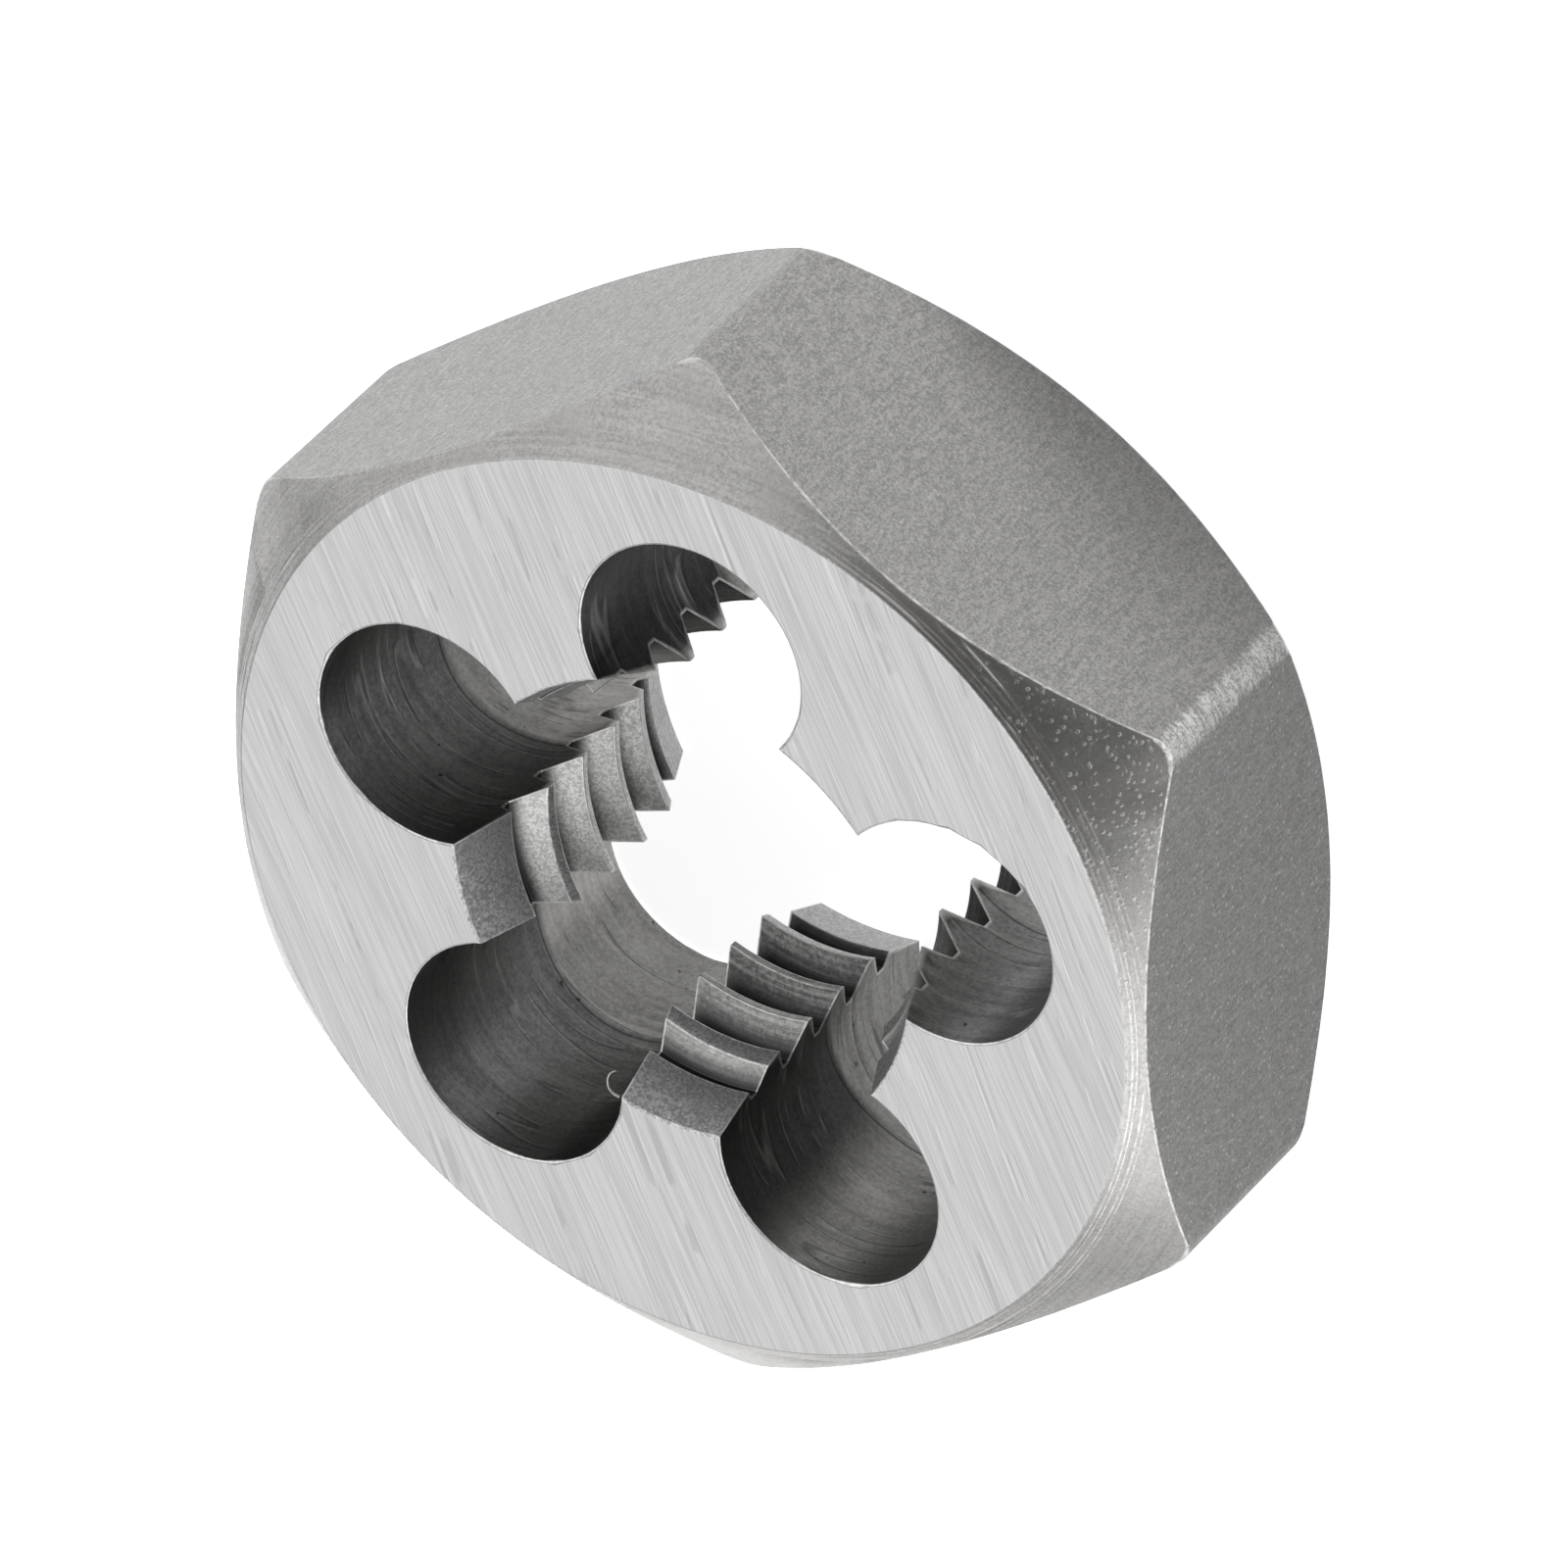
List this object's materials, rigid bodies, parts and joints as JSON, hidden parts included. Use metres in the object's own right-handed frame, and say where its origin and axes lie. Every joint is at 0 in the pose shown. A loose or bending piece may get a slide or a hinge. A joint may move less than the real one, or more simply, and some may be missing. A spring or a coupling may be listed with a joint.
{
  "type": "hex rethreading die",
  "caption": "Hexagonal steel die with a right-hand threaded bore between round chip holes, lead-in cones at both ends and chamfered corners, for cleaning up a damaged outside thread.",
  "frame": {"origin": "centre of the back face, on the thread's axis", "axes": "+Z along the thread's axis to the front face; two opposite flats face -Y and +Y, and +X points at a corner"},
  "size_m": [0.029, 0.0254, 0.0095],
  "materials": {
    "tool_steel": "satin"
  },
  "bodies": {
    "root": {"hex_die": "tool_steel"}
  },
  "joints": []
}
